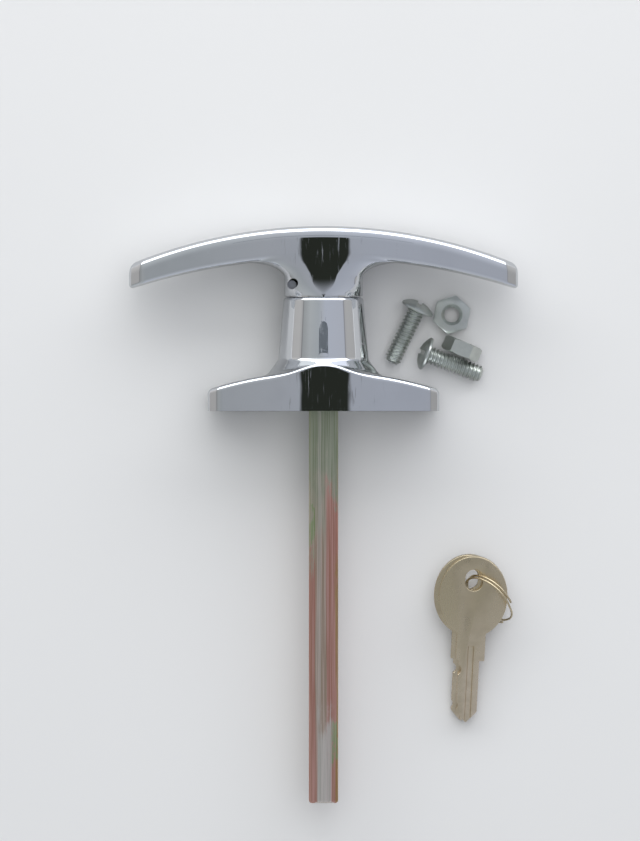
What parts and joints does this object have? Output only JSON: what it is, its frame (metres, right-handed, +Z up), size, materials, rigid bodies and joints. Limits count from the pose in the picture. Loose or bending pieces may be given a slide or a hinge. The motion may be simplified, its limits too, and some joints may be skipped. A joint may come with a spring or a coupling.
{
  "type": "garage door t handle lock",
  "caption": "Chrome locking T-handle for a garage door: arched bar on a turning neck, flared collar on a drilled escutcheon, square spindle, wafer lock, keys on a ring, screws and nuts.",
  "frame": {"origin": "on the turning axis, in the plane of the escutcheon's back, which lies on the face of the door", "axes": "+Y along the spindle into the door, X along the bar at rest, +Z up; the handle stands towards -Y"},
  "size_m": [0.106, 0.1573, 0.027],
  "materials": {
    "chrome_casting": "polished chrome plate on a zinc casting",
    "chrome_barrel": "chrome plate",
    "nickel_plug": "nickel plate on brass",
    "yellow_zinc": "yellow iridescent zinc plate",
    "spring_steel": "plain steel",
    "wafer_brass": "stamped brass",
    "nickel_key": "nickel plate on brass",
    "nickel_ring": "nickel-plated wire",
    "bright_zinc": "bright zinc plate"
  },
  "bodies": {
    "escutcheon": {"escutcheon": "chrome_casting"},
    "handle": {"handle": "chrome_casting", "lock_barrel": "chrome_barrel", "barrel_pin": "spring_steel", "spindle": "yellow_zinc", "spindle_pin": "spring_steel", "thrust_washer": "spring_steel", "wave_washer": "spring_steel", "retaining_ring": "spring_steel"},
    "plug": {"lock_plug": "nickel_plug", "plug_clip": "spring_steel", "wafer_1": "wafer_brass", "wafer_2": "wafer_brass", "wafer_3": "wafer_brass", "wafer_4": "wafer_brass", "wafer_5": "wafer_brass", "wafer_spring_1": "spring_steel", "wafer_spring_2": "spring_steel", "wafer_spring_3": "spring_steel", "wafer_spring_4": "spring_steel", "wafer_spring_5": "spring_steel"},
    "locking_bolt": {"locking_bolt": "spring_steel"},
    "key_ring": {"key_ring": "nickel_ring"},
    "key_1": {"key_1": "nickel_key"},
    "key_2": {"key_2": "nickel_key"},
    "fixings": {"screw_1": "bright_zinc", "screw_2": "bright_zinc", "nut_1": "bright_zinc", "nut_2": "bright_zinc"}
  },
  "joints": [
    {"name": "handle_turn", "type": "hinge", "parent": "escutcheon", "child": "handle", "pos_m": [0, 0, 0], "axis": [0, 1, 0], "range_deg": [-90, 90]},
    {"name": "key_turn", "type": "hinge", "parent": "handle", "child": "plug", "pos_m": [0, -0.05, 0], "axis": [0, 1, 0], "range_deg": [0, 90]},
    {"name": "bolt_slide", "type": "slide", "parent": "handle", "child": "locking_bolt", "axis": [0, 0, 1], "range_m": [0, 0.0017]},
    {"name": "keys_lift", "type": "slide", "parent": "escutcheon", "child": "key_ring", "axis": [0, 0, 1], "range_m": [0, 0.06]},
    {"name": "key_1_swing", "type": "hinge", "parent": "key_ring", "child": "key_1", "pos_m": [-0.04123, 0.04546, -0.00511], "axis": [0, -0.1564, -0.9877], "range_deg": [0, 45]},
    {"name": "key_2_swing", "type": "hinge", "parent": "key_ring", "child": "key_2", "pos_m": [-0.03993, 0.04539, -0.0051], "axis": [0, -0.1564, -0.9877], "range_deg": [0, 45]},
    {"name": "fixings_lift", "type": "slide", "parent": "escutcheon", "child": "fixings", "axis": [0, 0, 1], "range_m": [0, 0.06]}
  ],
  "couplings": [
    {"joint": "key_turn", "follows": "bolt_slide", "rad_per_m": 925.6}
  ]
}
